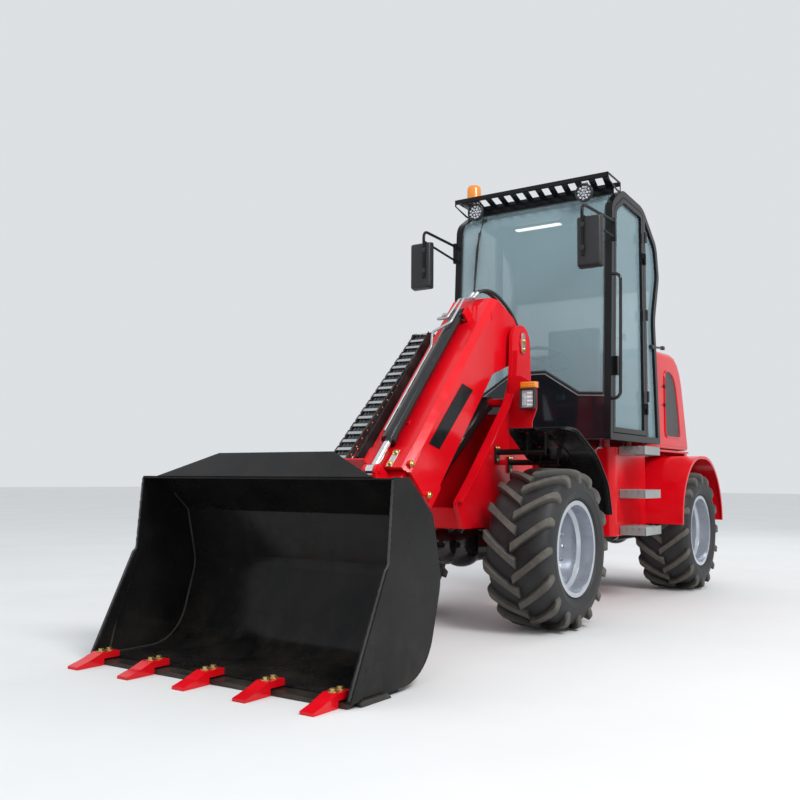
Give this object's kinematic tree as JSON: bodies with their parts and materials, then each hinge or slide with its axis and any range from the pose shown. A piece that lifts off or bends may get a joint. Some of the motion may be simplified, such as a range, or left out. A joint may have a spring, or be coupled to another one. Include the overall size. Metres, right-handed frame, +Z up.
{
  "type": "telescopic wheel loader",
  "caption": "Compact articulated wheel loader with a telescopic boom, a toothed bucket, a glazed cab over the rear frame and large lugged tyres.",
  "frame": {"origin": "on the ground under the middle of the machine's whole length and width", "axes": "+X forward towards the bucket, +Y to the machine's left, +Z up"},
  "size_m": [5.37, 1.526, 3.095],
  "materials": {
    "red": "gloss",
    "black_paint": "satin",
    "tyre": "matte",
    "rim": "satin",
    "glass": "clear",
    "chrome": "polished",
    "steel": "brushed",
    "black_plastic": "matte",
    "hose": "matte",
    "lamp": "clear",
    "amber": "translucent",
    "mesh": "matte",
    "seat": "woven",
    "cast": "rough",
    "tail_red": "translucent"
  },
  "bodies": {
    "rear_body": {"rear_frame": "red", "rear_axle": "cast", "counterweight": "red", "engine": "cast", "rear_fender_left": "red", "rear_fender_right": "red", "steps": "steel", "cab_floor": "black_paint", "cab_frame": "black_paint", "cab_roof": "black_paint", "windscreen": "glass", "rear_glass": "glass", "side_glass": "glass", "visor": "black_paint", "work_lamps": "lamp", "beacon": "amber", "mirrors": "black_plastic", "grab_handle": "black_paint", "seat": "seat", "steering_column": "black_plastic", "lever_box": "black_plastic", "tail_lamps": "tail_red"},
    "front_body": {"front_frame": "red", "front_axle": "cast", "front_fender_left": "black_paint", "front_fender_right": "black_paint", "head_lamps": "lamp", "turn_signals": "amber"},
    "front_left_wheel": {"front_tyre_left": "tyre", "front_rim_left": "rim"},
    "front_right_wheel": {"front_tyre_right": "tyre", "front_rim_right": "rim"},
    "rear_left_wheel": {"rear_tyre_left": "tyre", "rear_rim_left": "rim"},
    "rear_right_wheel": {"rear_tyre_right": "tyre", "rear_rim_right": "rim"},
    "boom_body": {"boom": "red", "cable_chain": "black_plastic", "telescope_barrel": "black_paint", "boom_pipes": "chrome", "boom_hoses": "hose"},
    "inner_boom_body": {"inner_boom": "red", "telescope_rod": "chrome"},
    "bucket_body": {"coupler": "black_paint", "bucket": "black_paint", "cutting_edge": "steel", "bucket_teeth": "red"},
    "rocker_body": {"tilt_rocker": "red"},
    "link_body": {"tilt_link": "red"},
    "lift_barrel_body": {"lift_cylinder_barrel": "black_paint"},
    "lift_rod_body": {"lift_cylinder_rod": "chrome"},
    "steer_barrel_left_body": {"steer_barrel_left": "black_paint"},
    "steer_rod_left_body": {"steer_rod_left": "chrome"},
    "steer_barrel_right_body": {"steer_barrel_right": "black_paint"},
    "steer_rod_right_body": {"steer_rod_right": "chrome"},
    "door": {"door_frame": "black_paint", "door_glass": "glass"},
    "hood_body": {"hood": "red", "hood_mesh": "mesh"}
  },
  "joints": [
    {"name": "steer", "type": "hinge", "parent": "rear_body", "child": "front_body", "pos_m": [-0.635, 0, 0.62], "axis": [0, 0, 1], "range_deg": [-35, 35]},
    {"name": "wheel_front_left", "type": "hinge", "parent": "front_body", "child": "front_left_wheel", "pos_m": [0.365, 0.55, 0.4625], "axis": [0, 1, 0], "continuous": true},
    {"name": "wheel_front_right", "type": "hinge", "parent": "front_body", "child": "front_right_wheel", "pos_m": [0.365, -0.55, 0.4625], "axis": [0, 1, 0], "continuous": true},
    {"name": "wheel_rear_left", "type": "hinge", "parent": "rear_body", "child": "rear_left_wheel", "pos_m": [-2.085, 0.55, 0.4625], "axis": [0, 1, 0], "continuous": true},
    {"name": "wheel_rear_right", "type": "hinge", "parent": "rear_body", "child": "rear_right_wheel", "pos_m": [-2.085, -0.55, 0.4625], "axis": [0, 1, 0], "continuous": true},
    {"name": "lift", "type": "hinge", "parent": "front_body", "child": "boom_body", "pos_m": [0.035, 0, 1.73], "axis": [0, -1, 0], "range_deg": [0, 75]},
    {"name": "telescope", "type": "slide", "parent": "boom_body", "child": "inner_boom_body", "axis": [0.6743, 0, -0.7385], "range_m": [0, 0.55]},
    {"name": "bucket_tilt", "type": "hinge", "parent": "inner_boom_body", "child": "bucket_body", "pos_m": [1.67723, 0, 0.25037], "axis": [0, -1, 0], "range_deg": [-105, 35]},
    {"name": "rocker_swing", "type": "hinge", "parent": "inner_boom_body", "child": "rocker_body", "pos_m": [1.47494, 0, 0.47191], "axis": [0, -1, 0], "range_deg": [-105, 35]},
    {"name": "link_swing", "type": "hinge", "parent": "rocker_body", "child": "link_body", "pos_m": [1.52825, 0, 0.69565], "axis": [0, -1, 0], "range_deg": [-35, 105]},
    {"name": "lift_barrel_swing", "type": "hinge", "parent": "front_body", "child": "lift_barrel_body", "pos_m": [0.12, 0, 1.344], "axis": [0, -1, 0], "range_deg": [0, 79.5]},
    {"name": "lift_rod_slide", "type": "slide", "parent": "lift_barrel_body", "child": "lift_rod_body", "axis": [0.7948, 0, -0.6069], "range_m": [0, 0.48]},
    {"name": "steer_barrel_left_swing", "type": "hinge", "parent": "rear_body", "child": "steer_barrel_left_body", "pos_m": [-1.235, 0.17, 0.62], "axis": [0, 0, 1], "range_deg": [-4, 4]},
    {"name": "steer_rod_left_slide", "type": "slide", "parent": "steer_barrel_left_body", "child": "steer_rod_left_body", "axis": [0.9996, -0.0298, 0], "range_m": [-0.091, 0.091]},
    {"name": "steer_barrel_right_swing", "type": "hinge", "parent": "rear_body", "child": "steer_barrel_right_body", "pos_m": [-1.235, -0.17, 0.62], "axis": [0, 0, 1], "range_deg": [-4, 4]},
    {"name": "steer_rod_right_slide", "type": "slide", "parent": "steer_barrel_right_body", "child": "steer_rod_right_body", "axis": [0.9996, 0.0298, 0], "range_m": [-0.091, 0.091]},
    {"name": "door_swing", "type": "hinge", "parent": "rear_body", "child": "door", "pos_m": [-1.172, 0.628, 1.5], "axis": [0, 0, 1], "range_deg": [0, 85]},
    {"name": "hood_lift", "type": "hinge", "parent": "rear_body", "child": "hood_body", "pos_m": [-1.546, 0, 1.848], "axis": [0, 1, 0], "range_deg": [0, 55]}
  ],
  "couplings": [
    {"joint": "rocker_swing", "follows": "bucket_tilt", "ratio": 1},
    {"joint": "link_swing", "follows": "bucket_tilt", "ratio": -1},
    {"joint": "lift_barrel_swing", "follows": "lift", "ratio": 1.0552},
    {"joint": "lift_rod_slide", "follows": "lift", "m_per_rad": 0.36208},
    {"joint": "steer_barrel_left_swing", "follows": "steer", "ratio": 0.0947},
    {"joint": "steer_rod_left_slide", "follows": "steer", "m_per_rad": -0.14703},
    {"joint": "steer_barrel_right_swing", "follows": "steer", "ratio": 0.0947},
    {"joint": "steer_rod_right_slide", "follows": "steer", "m_per_rad": 0.14703}
  ]
}
